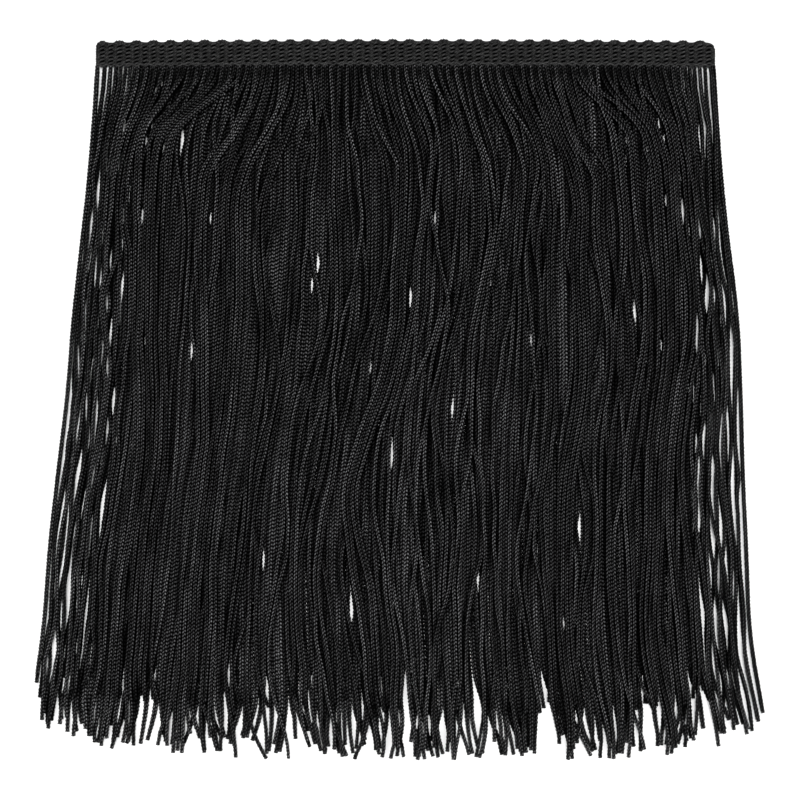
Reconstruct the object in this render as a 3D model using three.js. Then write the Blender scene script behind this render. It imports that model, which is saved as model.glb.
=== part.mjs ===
// Chainette fringe trim, lying flat with its hem spread out.
// Millimetres, +Z up from the surface, +X across the trim, +Y towards the heading.
// A knitted heading band holds two layers of chainette strands, four strands to each of its columns.
// The strands of a layer hang from one narrow strip along the lower edge of the heading. Every second
// strand of a layer lies nested upside down between its neighbours, and the upper layer lies on the
// lower one, with a few of its strands swept across the others.

import * as THREE from 'three';

// Driving dimensions.
const HEADING_WIDTH = 266;
const HEADING_HEIGHT = 10.3;
const HEADING_THICKNESS = 3;
const HEADING_BOW = 0.7;
const COLUMNS = 73;
const STRANDS_IN_LAYER = 2 * COLUMNS;
const STRAND_WIDTH = 1.95;
const STRAND_HEIGHT = 1.4;
const GAP = 0.3;

// The heading's relief: ribs over the columns, rows of binding thread, and loops along the top edge.
const RIB_DEPTH = 0.5;
const ROW_DEPTH = 0.2;
const EDGE_DEPTH = 0.5;
const HEADING_ROWS = 4;
const LOOP_RISE = 0.8;
const LOOP_COLUMNS = 2;
const CORNER_DROP = 1.3;
const CORNER_RISE = 0.4;

// Where the strands leave the heading.
const STRAND_PITCH = 1.8;
const HALF_ROW = (STRAND_PITCH * (STRANDS_IN_LAYER - 1)) / 2;
const LAYERS_IN_HEADING = 2;
const ROOT_WIDTH = 3;
const ROOT_THICKNESS = (HEADING_THICKNESS - GAP) / LAYERS_IN_HEADING;
const ROOT_MARGIN = 0.15;
const ROOT_DROP = GAP + ROOT_WIDTH;
const ROOT_STEPS = 12;
const LEVEL_PITCH = STRAND_HEIGHT + GAP;
const CLOSEST_NESTED = STRAND_WIDTH / 2 + 1.5 * GAP;
const CLOSEST_ALIKE = STRAND_WIDTH + 2 * GAP;
const SPREAD_ROUNDS = 150;

// How far the sides of the fringe spread from the middle of the heading, down the drop.
const SIDES = [
  { drop: 0, left: -130.4, right: 130.4 },
  { drop: 35, left: -134.6, right: 134.2 },
  { drop: 70, left: -138.4, right: 138 },
  { drop: 105, left: -142.5, right: 142.7 },
  { drop: 140, left: -145, right: 144.2 },
  { drop: 175, left: -149.3, right: 145.1 },
  { drop: 210, left: -153.2, right: 146.8 },
  { drop: 245, left: -155.6, right: 147.8 },
  { drop: 270, left: -159.8, right: 152.4 },
  { drop: 300, left: -163, right: 157.5 },
];

// The drop of the longest strands, across the trim from its left side, -1, to its right side, 1.
const HEM = [
  { across: -1, drop: 267 },
  { across: -0.96, drop: 278 },
  { across: -0.88, drop: 289 },
  { across: -0.75, drop: 293 },
  { across: -0.5, drop: 296.5 },
  { across: -0.1, drop: 298 },
  { across: 0.5, drop: 297 },
  { across: 0.8, drop: 293 },
  { across: 0.92, drop: 290 },
  { across: 0.97, drop: 284 },
  { across: 1, drop: 278 },
];

// How far the front layer leans sideways soon below the heading: it parts left of the middle.
const FRONT_LEAN = [
  { across: -1, shift: 0 },
  { across: -0.8, shift: -7.5 },
  { across: -0.47, shift: -9.5 },
  { across: -0.39, shift: -7 },
  { across: -0.29, shift: 6 },
  { across: -0.2, shift: 8 },
  { across: 0.05, shift: 12 },
  { across: 0.2, shift: 13 },
  { across: 0.45, shift: 9.5 },
  { across: 0.8, shift: 7 },
  { across: 1, shift: 0 },
];

// Long waves of a layer: their size, how many of them cross the trim, and the drop that each takes.
const WAVES = [
  { size: 1.7, across: 1.3, drop: 290 },
  { size: 1.5, across: 2.6, drop: 175 },
  { size: 0.9, across: 4.5, drop: 112 },
  { size: 0.5, across: 7.5, drop: 78 },
];

// A drift to the left in the lower half of the trim, left of its middle, that both layers share.
const DRIFT = { shift: -4.5, across: -0.3, width: 0.4, drop: 185, length: 62 };

// Each layer: its level above the surface, how much of the lean and of the waves it takes, how far a
// strand wanders, whether strands lie across it, how it is cut, and the drops of its bends.
const LAYERS = [
  { name: 'fringe_lower', level: 0, lean: 0.1, waves: 0.2, wander: 0.25, crossed: false,
    cut: { shorter: 4, uneven: 9, stubs: 0 }, color: 0x17171a, bends: [14, 55, 110, 165, 225] },
  { name: 'fringe_upper', level: 1, lean: 1, waves: 0.9, wander: 0.5, crossed: true,
    cut: { shorter: 0, uneven: 2, stubs: 0.16 }, color: 0x1d1d20, bends: [8, 24, 50, 100, 160, 225] },
];

// Strands of the upper layer that lie across the others: the strand, the drops between which it
// crosses over, and how far it is carried sideways.
const SWEEPS = [
  { strand: 13, leaves: 82, lands: 104, reach: -7 },
  { strand: 25, leaves: 8, lands: 30, reach: -15 },
  { strand: 27, leaves: 8, lands: 30, reach: -16 },
  { strand: 29, leaves: 8, lands: 31, reach: -17 },
  { strand: 31, leaves: 8, lands: 31, reach: -18 },
  { strand: 33, leaves: 8, lands: 32, reach: -19 },
  { strand: 19, leaves: 170, lands: 205, reach: 5 },
  { strand: 39, leaves: 28, lands: 46, reach: -12 },
  { strand: 41, leaves: 28, lands: 48, reach: -12 },
  { strand: 45, leaves: 48, lands: 64, reach: -9 },
  { strand: 51, leaves: 28, lands: 52, reach: -8 },
  { strand: 61, leaves: 95, lands: 135, reach: -6 },
  { strand: 67, leaves: 190, lands: 225, reach: 5 },
  { strand: 75, leaves: 70, lands: 110, reach: 6 },
  { strand: 83, leaves: 215, lands: 250, reach: -5 },
  { strand: 93, leaves: 20, lands: 44, reach: 12 },
  { strand: 99, leaves: 28, lands: 52, reach: 8 },
  { strand: 103, leaves: 48, lands: 64, reach: 9 },
  { strand: 107, leaves: 28, lands: 48, reach: 12 },
  { strand: 109, leaves: 28, lands: 46, reach: 12 },
  { strand: 113, leaves: 8, lands: 32, reach: 19 },
  { strand: 115, leaves: 8, lands: 31, reach: 18 },
  { strand: 117, leaves: 8, lands: 31, reach: 17 },
  { strand: 119, leaves: 8, lands: 30, reach: 16 },
  { strand: 121, leaves: 8, lands: 30, reach: 15 },
];

// Near the hem the strands gather into tufts.
const TUFT_START = 246;
const TUFT_LENGTH = 52;
const TUFT_LEAST = 2;
const TUFT_SPREAD = 5;
const TUFT_PULL = { least: 0.1, more: 0.4 };
const TUFT_LEAN = 2;

// How the sideways moves grow below the heading, and how they fade towards the sides of the trim.
const LEAN_DROP = 48;
const LEAN_EASE = { start: 60, end: 180, share: 0.6 };
const WAVE_DROP = 40;
const WANDER = { shortest: 62, longer: 48 };
const STUB = 9;
const WAVE_FADE = 4;
const SIDE_FADE = 8;
const SWEEP_LEVEL = 2;

// The seeds of the scattered values, and the numbers that scatter them.
const SEED = {
  tuftWidth: 11,
  tuftPull: 12,
  tuftLean: 13,
  wave: 20,
  wanderDrop: 30,
  wanderTurn: 40,
  cut: 50,
  stub: 70,
};
const SCATTER = { first: 12.9898, second: 78.233, start: 4.1, scale: 43758.5453 };

const { clamp, lerp, smoothstep } = THREE.MathUtils;

// A number from 0 to 1 that looks random and is the same each time.
function scatter(first, second) {
  const angle = first * SCATTER.first + second * SCATTER.second + SCATTER.start;
  const value = Math.sin(angle) * SCATTER.scale;
  return value - Math.floor(value);
}

// The value of a table's column at a place, on straight lines between its rows.
function lookUp(table, key, column, at) {
  let row = 1;
  while (row < table.length - 1 && table[row][key] < at) row += 1;
  const before = table[row - 1];
  const after = table[row];
  const share = clamp((at - before[key]) / (after[key] - before[key]), 0, 1);
  return lerp(before[column], after[column], share);
}

// The tufts: the strands each one holds, how strongly it gathers, and how far it leans.
function makeTufts() {
  const tufts = [];
  let from = -0.5;
  while (from < STRANDS_IN_LAYER) {
    const seed = tufts.length;
    const to = from + TUFT_LEAST + Math.floor(scatter(seed, SEED.tuftWidth) * TUFT_SPREAD);
    tufts.push({
      from,
      to,
      pull: TUFT_PULL.least + TUFT_PULL.more * scatter(seed, SEED.tuftPull),
      lean: TUFT_LEAN * (2 * scatter(seed, SEED.tuftLean) - 1),
    });
    from = to;
  }
  return tufts;
}

const TUFTS = makeTufts();

// A strand's place across the trim, from -1 at its left side to 1 at its right side.
function sideOf(strand) {
  return (2 * strand) / (STRANDS_IN_LAYER - 1) - 1;
}

// The lower edge of the heading, which rises a little in the middle.
function headingEdge(x) {
  const side = (2 * x) / HEADING_WIDTH;
  return HEADING_BOW * (1 - side * side);
}

// The sideways moves of a strand: the lean, the waves and the drift of its layer, its own wandering,
// and its tuft.
function lean(layer, side, drop) {
  const eased = 1 - LEAN_EASE.share * smoothstep(drop, LEAN_EASE.start, LEAN_EASE.end);
  const shift = lookUp(FRONT_LEAN, 'across', 'shift', side);
  return layer.lean * shift * smoothstep(drop, 0, LEAN_DROP) * eased;
}

function drift(side, drop) {
  const across = (side - DRIFT.across) / DRIFT.width;
  const down = (drop - DRIFT.drop) / DRIFT.length;
  return DRIFT.shift * Math.exp(-across * across - down * down);
}

function wave(layer, side, drop) {
  let total = 0;
  WAVES.forEach(({ size, across, drop: length }, index) => {
    const phase = scatter(index, layer.level + SEED.wave);
    total += size * Math.sin(2 * Math.PI * ((across * side) / 2 + drop / length + phase));
  });
  return layer.waves * total * smoothstep(drop, 0, WAVE_DROP) * (1 - side ** WAVE_FADE);
}

function wander(layer, strand, drop) {
  const length = WANDER.shortest + WANDER.longer * scatter(strand, layer.level + SEED.wanderDrop);
  const turn = drop / length + scatter(strand, layer.level + SEED.wanderTurn);
  return layer.wander * Math.sin(2 * Math.PI * turn) * smoothstep(drop, 0, WAVE_DROP);
}

function gather(strand, side, drop) {
  const tuft = TUFTS.find(({ to }) => strand < to);
  const middle = (tuft.from + tuft.to) / 2;
  const share = smoothstep(drop, TUFT_START, TUFT_START + TUFT_LENGTH) * (1 - side ** SIDE_FADE);
  return share * (tuft.lean - tuft.pull * (strand - middle) * STRAND_PITCH);
}

function sweepOf(layer, strand) {
  return layer.crossed ? SWEEPS.find((sweep) => sweep.strand === strand) : undefined;
}

// Where a strand would lie across the trim, before its neighbours push it aside.
function strandAcross(layer, strand, drop) {
  const side = sideOf(strand);
  const spread = lerp(
    lookUp(SIDES, 'drop', 'left', drop) + HALF_ROW,
    lookUp(SIDES, 'drop', 'right', drop) - HALF_ROW,
    (side + 1) / 2,
  );
  const root = side * HALF_ROW;
  const sweep = sweepOf(layer, strand);
  const swept = sweep ? sweep.reach * smoothstep(drop, sweep.leaves, sweep.lands) : 0;
  const moved = lean(layer, side, drop) + drift(side, drop) + wave(layer, side, drop);
  return root + spread + swept + moved + wander(layer, strand, drop) + gather(strand, side, drop);
}

// The drop at which a strand is cut.
function strandDrop(layer, strand) {
  const longest = lookUp(HEM, 'across', 'drop', sideOf(strand));
  const { shorter, uneven, stubs } = layer.cut;
  const stub = scatter(strand, layer.level + SEED.stub) < stubs ? STUB : 0;
  return longest - shorter - stub - uneven * scatter(strand, layer.level + SEED.cut);
}

// Upside down strands are the odd ones.
function isNested(strand) {
  return strand % 2 === 1;
}

// Places strands that are in order across the trim, and moves them apart where they come too close.
function placeStrands(layer, strands, drop) {
  const places = strands.map((strand) => strandAcross(layer, strand, drop));
  for (let round = 0; round < SPREAD_ROUNDS; round += 1) {
    for (let index = 1; index < places.length; index += 1) {
      const alike = isNested(strands[index]) === isNested(strands[index - 1]);
      const closest = alike ? CLOSEST_ALIKE : CLOSEST_NESTED;
      const short = closest - (places[index] - places[index - 1]);
      if (short > 0) {
        places[index - 1] -= short / 2;
        places[index] += short / 2;
      }
    }
  }
  return places;
}

function closedMesh(name, corners, faces, material) {
  const geometry = new THREE.BufferGeometry();
  geometry.setAttribute('position', new THREE.Float32BufferAttribute(corners, 3));
  geometry.setIndex(faces);
  const mesh = new THREE.Mesh(geometry, material);
  mesh.name = name;
  return mesh;
}

// The heights of the strip that holds the roots of one layer.
function rootHeights(layer) {
  const low = layer.level * (ROOT_THICKNESS + GAP);
  return { low, high: low + ROOT_THICKNESS };
}

// The rings of some strands of one layer, from the root strip to the hem, at one level of the pile.
// Each ring is level across the trim and has three corners: two on the strand's flat face, one on
// its ridge.
function strandRings(layer, strands, level) {
  const root = rootHeights(layer);
  const low = level * LEVEL_PITCH;
  const ends = strands.map((strand) => strandDrop(layer, strand));
  const longest = Math.max(...ends);
  const table = [ROOT_DROP, ...layer.bends, longest].map((drop) => (
    { drop, across: placeStrands(layer, strands, drop) }
  ));
  const rings = strands.map((strand, index) => {
    const edge = headingEdge(sideOf(strand) * HALF_ROW);
    const nested = isNested(strand);
    const route = table.map(({ drop, across }) => ({ drop, x: across[index] }));
    const hem = route.pop();
    const before = route[route.length - 1];
    const share = (ends[index] - before.drop) / (hem.drop - before.drop);
    route.push({ drop: ends[index], x: lerp(before.x, hem.x, share) });
    return route.map(({ drop, x }, step) => {
      const above = route[Math.max(step - 1, 0)];
      const below = route[Math.min(step + 1, route.length - 1)];
      const slope = (below.x - above.x) / (below.drop - above.drop);
      const half = (STRAND_WIDTH * Math.hypot(1, slope)) / 2;
      const [y, bottom, top] = step === 0
        ? [-ROOT_DROP, root.low + ROOT_MARGIN, root.high - ROOT_MARGIN]
        : [edge - drop, low, low + STRAND_HEIGHT];
      const face = nested ? top : bottom;
      const ridge = nested ? bottom : top;
      const corners = [[x - half, face], [x + half, face], [x, ridge]];
      if (nested) corners.reverse();
      return corners.map(([across, height]) => new THREE.Vector3(across, y, height));
    });
  });
  return strands.map((strand, index) => ({ strand, rings: rings[index] }));
}

function isFirst(point, place, row) {
  return point !== undefined && point !== row[place - 1];
}

// Faces between two rows of points, the lower row below the upper one, both from left to right.
function zip(corners, lower, upper) {
  const faces = [];
  let low = 0;
  let high = 0;
  while (low < lower.length - 1 || high < upper.length - 1) {
    const nextLow = low < lower.length - 1 ? corners[lower[low + 1]].x : Infinity;
    const nextHigh = high < upper.length - 1 ? corners[upper[high + 1]].x : Infinity;
    if (nextLow <= nextHigh) {
      faces.push(lower[low], lower[low + 1], upper[high]);
      low += 1;
    } else {
      faces.push(lower[low], upper[high + 1], upper[high]);
      high += 1;
    }
  }
  return faces;
}

// One layer: a strip along the heading's bowed edge, and the strands that grow out of its front face.
function makeLayer(layer) {
  const all = Array.from({ length: STRANDS_IN_LAYER }, (_, strand) => strand);
  const strands = [
    ...strandRings(layer, all.filter((strand) => !sweepOf(layer, strand)), layer.level),
    ...strandRings(layer, all.filter((strand) => sweepOf(layer, strand)), SWEEP_LEVEL),
  ].sort((one, other) => one.strand - other.strand);

  const { low, high } = rootHeights(layer);
  const corners = [];
  const faces = [];
  const steps = Array.from({ length: ROOT_STEPS + 1 }, (_, step) => step);
  const rims = [[false, low], [true, low], [true, high], [false, high]].map(([atHeading, height]) => (
    steps.map((step) => {
      const x = HEADING_WIDTH * (step / ROOT_STEPS - 0.5);
      const y = atHeading ? headingEdge(x) - GAP : -ROOT_DROP;
      return corners.push(new THREE.Vector3(x, y, height)) - 1;
    })
  ));
  for (let rim = 1; rim < rims.length; rim += 1) {
    for (let step = 1; step <= ROOT_STEPS; step += 1) {
      const [a, b] = [rims[rim - 1][step - 1], rims[rim][step - 1]];
      faces.push(a, b, b + 1, a, b + 1, a + 1);
    }
  }
  const [left, right] = [0, ROOT_STEPS].map((step) => rims.map((rim) => rim[step]));
  faces.push(left[2], left[1], left[0], left[3], left[2], left[0]);
  faces.push(right[0], right[1], right[2], right[0], right[2], right[3]);

  // Each strand's sides in the front face, with the ends of the strip at both ends of the row.
  const sides = strands.map(({ strand, rings }) => {
    const first = corners.length;
    rings.forEach((ring) => corners.push(...ring));
    rings.slice(1).forEach((_, ring) => {
      for (let corner = 0; corner < 3; corner += 1) {
        const a = first + ring * 3 + corner;
        const b = first + ring * 3 + ((corner + 1) % 3);
        faces.push(a, b, a + 3, b, b + 3, a + 3);
      }
    });
    const last = corners.length - 3;
    faces.push(last, last + 1, last + 2);
    return isNested(strand)
      ? { leftLow: first, leftHigh: first + 2, rightLow: first, rightHigh: first + 1 }
      : { leftLow: first, leftHigh: first + 2, rightLow: first + 1, rightHigh: first + 2 };
  });
  const row = [
    { rightLow: left[0], rightHigh: left[3] },
    ...sides,
    { leftLow: right[0], leftHigh: right[3] },
  ];
  for (let place = 1; place < row.length; place += 1) {
    const { rightLow, rightHigh } = row[place - 1];
    const { leftLow, leftHigh } = row[place];
    faces.push(rightLow, leftLow, leftHigh, rightLow, leftHigh, rightHigh);
  }
  const lowRow = row.flatMap(({ leftLow, rightLow }) => [leftLow, rightLow]).filter(isFirst);
  const highRow = row.flatMap(({ leftHigh, rightHigh }) => [leftHigh, rightHigh]).filter(isFirst);
  faces.push(...zip(corners, rims[0].slice(1, -1), lowRow));
  faces.push(...zip(corners, highRow, rims[3].slice(1, -1)));

  const material = new THREE.MeshStandardMaterial({ color: layer.color, roughness: 0.5, metalness: 0 });
  return closedMesh(layer.name, corners.flatMap((corner) => corner.toArray()), faces, material);
}

// The heading's top face is a grid of points: two steps to a column, so that each column is a rib.
function headingPoint(step, row) {
  const steps = 2 * COLUMNS;
  const x = HEADING_WIDTH * (step / steps - 0.5);
  const atEnd = step === 0 || step === steps;
  const onRib = step % 2 === 1;
  const column = (step - 1) / 2;
  const loop = onRib && column % LOOP_COLUMNS === 0 ? LOOP_RISE : 0;
  const lower = headingEdge(x) + (atEnd ? CORNER_RISE : 0);
  const upper = headingEdge(x) + HEADING_HEIGHT + (atEnd ? -CORNER_DROP : loop);
  const onEdge = atEnd || row === 0 || row === HEADING_ROWS;
  const crossed = onRib && (row + column) % 2 === 0;
  const sunk = (onRib ? 0 : RIB_DEPTH) + (crossed ? ROW_DEPTH : 0) + (onEdge ? EDGE_DEPTH : 0);
  return { x, y: lerp(lower, upper, row / HEADING_ROWS), z: HEADING_THICKNESS - sunk };
}

function makeHeading() {
  const steps = 2 * COLUMNS;
  const corners = [];
  const faces = [];
  const top = (step, row) => step * (HEADING_ROWS + 1) + row;
  for (let step = 0; step <= steps; step += 1) {
    for (let row = 0; row <= HEADING_ROWS; row += 1) {
      const { x, y, z } = headingPoint(step, row);
      corners.push(x, y, z);
      if (step < steps && row < HEADING_ROWS) {
        const [a, b] = [top(step, row), top(step + 1, row)];
        faces.push(a, b, b + 1, a, b + 1, a + 1);
      }
    }
  }
  const rim = [];
  for (let step = 0; step <= steps; step += 1) rim.push(top(step, 0));
  for (let row = 1; row <= HEADING_ROWS; row += 1) rim.push(top(steps, row));
  for (let step = steps - 1; step >= 0; step -= 1) rim.push(top(step, HEADING_ROWS));
  for (let row = HEADING_ROWS - 1; row > 0; row -= 1) rim.push(top(0, row));
  const under = corners.length / 3;
  const outline = rim.map((point) => new THREE.Vector2(corners[point * 3], corners[point * 3 + 1]));
  outline.forEach(({ x, y }) => corners.push(x, y, 0));
  rim.forEach((point, index) => {
    const next = (index + 1) % rim.length;
    faces.push(under + index, under + next, rim[next], under + index, rim[next], point);
  });
  THREE.ShapeUtils.triangulateShape(outline, []).forEach(([a, b, c]) => {
    faces.push(under + c, under + b, under + a);
  });
  const material = new THREE.MeshStandardMaterial({ color: 0x2b2b2c, roughness: 0.85, metalness: 0 });
  return closedMesh('heading', corners, faces, material);
}

const trim = new THREE.Group();
trim.add(makeHeading(), ...LAYERS.map(makeLayer));

// The origin is under the middle of the whole trim, on the surface.
const middle = new THREE.Box3().setFromObject(trim).getCenter(new THREE.Vector3());
trim.position.set(-middle.x, -middle.y, 0);

export default trim;
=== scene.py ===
"""Dresses a chainette fringe trim: its knitted heading and its layers of chain-stitched strands."""

import logging
import math
from dataclasses import dataclass, field
from enum import Enum, IntEnum

import bpy
import numpy as np
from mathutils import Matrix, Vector


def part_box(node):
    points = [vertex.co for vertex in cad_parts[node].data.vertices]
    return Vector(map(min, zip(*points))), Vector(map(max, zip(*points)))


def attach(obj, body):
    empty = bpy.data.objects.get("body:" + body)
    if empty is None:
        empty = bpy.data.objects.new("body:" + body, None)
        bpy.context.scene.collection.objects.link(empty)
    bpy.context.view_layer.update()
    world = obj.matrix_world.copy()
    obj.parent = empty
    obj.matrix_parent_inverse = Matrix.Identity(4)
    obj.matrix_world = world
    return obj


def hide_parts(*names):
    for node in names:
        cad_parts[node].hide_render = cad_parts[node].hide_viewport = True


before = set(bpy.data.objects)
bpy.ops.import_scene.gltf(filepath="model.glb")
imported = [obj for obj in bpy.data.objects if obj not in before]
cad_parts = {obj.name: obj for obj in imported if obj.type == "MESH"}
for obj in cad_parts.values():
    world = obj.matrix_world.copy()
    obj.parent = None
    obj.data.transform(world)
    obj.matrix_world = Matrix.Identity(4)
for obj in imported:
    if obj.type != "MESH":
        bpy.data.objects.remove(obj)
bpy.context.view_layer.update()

log = logging.getLogger("fringe")

MM = 0.001
PHOTO_SIDE_PX = 800
PHOTO_SCALE_MM = 0.43
PHOTO_HEADING_MIDDLE_PX = 405.5
PHOTO_HEADING_EDGE_PX = 65.5
SCATTER = (12.9898, 78.233, 4.1, 43758.5453)
BAKE_MARGINS = (0.01, 0.002)
STRAND_TURNS = 2.0
STRAND_SHIFT = 37.0
NOISE_RANGE = (0.3, 0.7)
RING_POINTS = 4

Table = dict[float, float]
Pair = tuple[float, float]
Socket = bpy.types.NodeSocket
Value = Socket | float | tuple[float, ...]


class Slot(Enum):
    """The record's material slots."""

    HEADING = "heading"
    CHAINETTE = "chainette"


class Level(IntEnum):
    """The two layers of strands, from the surface up."""

    LOWER = 0
    UPPER = 1


class Seed(IntEnum):
    """The seed of each scattered value. A layer's level is added to those from WAVE on."""

    LOOP = 3
    KNOT = 5
    GAP = 6
    TUFT_SIZE = 11
    TUFT_PULL = 12
    TUFT_LEAN = 13
    TUFT_CUT = 14
    STRAY = 15
    STRAY_START = 16
    STRAY_LENGTH = 17
    STRAY_REACH = 18
    PART_INWARD = 21
    PART_DROP = 22
    PART_LENGTH = 23
    PART_WIDTH = 24
    PULLED = 95
    WAVE = 20
    WANDER_LENGTH = 30
    WANDER_TURN = 40
    CUT = 50
    FLARE = 60
    STUB = 70
    LEAN = 80
    ROLL = 90
    ROOT = 92


def scatter(first: np.ndarray, second: float) -> np.ndarray:
    """Scatters numbers over 0 to 1, the same way each time.

    Args:
        first: Any numbers, such as the strands' places in their layer.
        second: A seed that keeps one use apart from another.

    Returns:
        One number from 0 to 1 for each of the first numbers.
    """
    by_first, by_second, shift, scale = SCATTER
    value = np.sin(np.asarray(first, float) * by_first + second * by_second + shift) * scale
    return value - np.floor(value)


def swing(first: np.ndarray, second: float) -> np.ndarray:
    """Scatters numbers as scatter does, but over -1 to 1."""
    return 2.0 * scatter(first, second) - 1.0


def smoothstep(value: np.ndarray, start: float, end: float) -> np.ndarray:
    """Rises smoothly from 0 at the start to 1 at the end.

    Args:
        value: Where to take the step's height.
        start: Where the step starts.
        end: Where the step ends.

    Returns:
        The heights, from 0 to 1.
    """
    share = np.clip((np.asarray(value, float) - start) / (end - start), 0.0, 1.0)
    return share * share * (3.0 - 2.0 * share)


def look_up(table: Table, at: np.ndarray) -> np.ndarray:
    """Reads a table of places and values, on straight lines between its rows."""
    return np.interp(at, list(table.keys()), list(table.values()))


def soft_look_up(table: Table, at: np.ndarray, reach: float = 14.0) -> np.ndarray:
    """Reads a table as look_up does, with its corners rounded over the reach on either side."""
    return np.mean([look_up(table, at + reach * step) for step in (-1.0, -0.5, 0.0, 0.5, 1.0)], axis=0)


def measure(line: np.ndarray) -> np.ndarray:
    """The length of a line up to each of its points."""
    return np.concatenate([[0.0], np.cumsum(np.linalg.norm(np.diff(line, axis=0), axis=1))])


def frames(line: np.ndarray, along: np.ndarray) -> tuple[np.ndarray, np.ndarray, np.ndarray]:
    """Finds points of a line and the directions there.

    Args:
        line: The line's points, in millimetres.
        along: The lengths at which to find them, in any shape.

    Returns:
        The points, the directions to the right and the directions up.
    """
    length = measure(line)
    forward = np.gradient(line, axis=0)
    forward /= np.linalg.norm(forward, axis=1)[:, None]
    point, ahead = (
        np.stack([np.interp(along, length, values[:, axis]) for axis in range(3)], axis=-1)
        for values in (line, forward))
    right = np.cross(ahead, (0.0, 0.0, 1.0))
    right /= np.linalg.norm(right, axis=-1)[..., None]
    up = np.cross(right, ahead)
    return point, right, up / np.linalg.norm(up, axis=-1)[..., None]


def halved(quads: np.ndarray) -> np.ndarray:
    """Splits quads into triangles: all their first halves, then all their second halves."""
    return np.concatenate([quads[:, [0, 1, 2]], quads[:, [0, 2, 3]]])


@dataclass(frozen=True)
class Sweep:
    """A strand of the upper layer that lies across the others.

    The drops say where it leaves its own place and where it has reached the other one, and the
    reach says how far that is to the side, all in millimetres.
    """

    strand: int
    leaves: float
    lands: float
    reach: float


@dataclass(frozen=True)
class Part:
    """A spot where the strands of both layers part, so that the floor shows between them.

    Its middle is given across the trim and as a drop. The length says how far along the strands
    they bend aside, and the width is the slit's, all in millimetres.
    """

    across: float
    drop: float
    length: float
    width: float


SWEEPS = tuple(Sweep(*row) for row in (
    (11, 82, 104, -7), (19, 3, 30, -8), (23, 3, 31, -13), (27, 3, 32, -20), (31, 4, 34, -29),
    (33, 3, 33, -33), (35, 27, 50, -11), (37, 27, 52, -12), (39, 28, 54, -13), (43, 10, 66, -20),
    (45, 10, 68, -22), (47, 11, 70, -24), (49, 14, 46, -11), (51, 15, 48, -12), (61, 95, 135, -6),
    (67, 190, 225, 5), (75, 70, 110, 6), (83, 215, 250, -5), (94, 15, 48, 10), (96, 14, 46, 9),
    (99, 11, 70, 22), (101, 10, 68, 20), (103, 10, 66, 18), (107, 28, 54, 13), (109, 27, 52, 12),
    (111, 27, 50, 11), (113, 3, 33, 32), (115, 4, 34, 28), (119, 3, 32, 19), (123, 3, 31, 12),
    (127, 3, 30, 7), (139, 175, 280, 9)))

PARTS = tuple(Part(*row) for row in (
    (-120.2, 10.5, 4.4, 0.2), (-107.7, 11.8, 4, 0.24), (-104.7, 7.1, 3.6, 0.16),
    (-129.2, 27.7, 4.4, 0.28), (-121, 26.9, 4, 0.16), (-109.4, 26.9, 5.2, 0.36),
    (-111.6, 32.9, 5.2, 0.44), (-95.7, 32, 5.6, 0.32), (-103.8, 36.3, 4.4, 0.32),
    (-37.4, 85.5, 4.2, 0.3), (-40.2, 94.8, 3.6, 0.3), (2.4, 100.2, 5.2, 0.48), (12.7, 66.4, 5.2, 0.36),
    (36.8, 93.5, 4, 0.32), (-5.8, 169.4, 6.8, 0.52), (-23, 235.3, 7.2, 0.52), (120.2, 10.5, 4.4, 0.2),
    (107.5, 12.5, 4, 0.24), (129, 27, 4.4, 0.24), (109, 27.5, 5.2, 0.36), (111, 33.5, 5.2, 0.44),
    (95, 32.5, 5.6, 0.32), (104, 37, 4.4, 0.28), (54, 118, 4.4, 0.36), (-61, 213, 4.8, 0.28),
    (31, 221, 4.8, 0.36), (68, 240, 5.6, 0.4), (-92, 122, 5.2, 0.36), (74.5, 199, 4.8, 0.32),
    (-76, 262, 6, 0.4), (20, 148, 4, 0.24), (-131, 64, 4, 0.4), (98.5, 106, 4.8, 0.4),
    (-84, 66, 3.6, 0.2), (110, 120, 5.2, 0.48), (-15, 130, 3.6, 0.24), (112, 58, 4.4, 0.4),
    (-113, 64, 4.4, 0.36), (-112, 118, 4, 0.4)))


@dataclass(frozen=True)
class LayerForm:
    """How one layer of strands lies: its share of the common moves, its own wandering and its cut.

    The named pieces stand for the node, from left to right. The even strands of a layer are its
    riders: they lie over the odd ones and may cross them. Lean and waves are shares of the flow's own,
    stubs is the share of short strands, girth widens a strand's section, which is about a millimetre
    to each side, and roll is in degrees. The rest is in millimetres.
    """

    level: Level
    node: str
    names: tuple[str, ...]
    lean: float
    waves: float
    wander: float
    rider_wander: float
    closest: float
    shorter: float
    uneven: float
    stubs: float
    girth: float
    roll: float
    sweeps: tuple[Sweep, ...] = ()


LOWER = LayerForm(
    Level.LOWER, "fringe_lower", ("lower_left", "lower_middle", "lower_right"),
    lean=0.02, waves=0.2, wander=0.12, rider_wander=0.12, closest=1.6, shorter=0.5, uneven=8.0,
    stubs=0.12, girth=1.3, roll=20.0)
UPPER = LayerForm(
    Level.UPPER, "fringe_upper", ("upper_left", "upper_middle", "upper_right"),
    lean=1.0, waves=0.9, wander=1.2, rider_wander=3.0, closest=1.9, shorter=-0.5, uneven=6.0,
    stubs=0.42, girth=0.93, roll=36.0, sweeps=SWEEPS)


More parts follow.
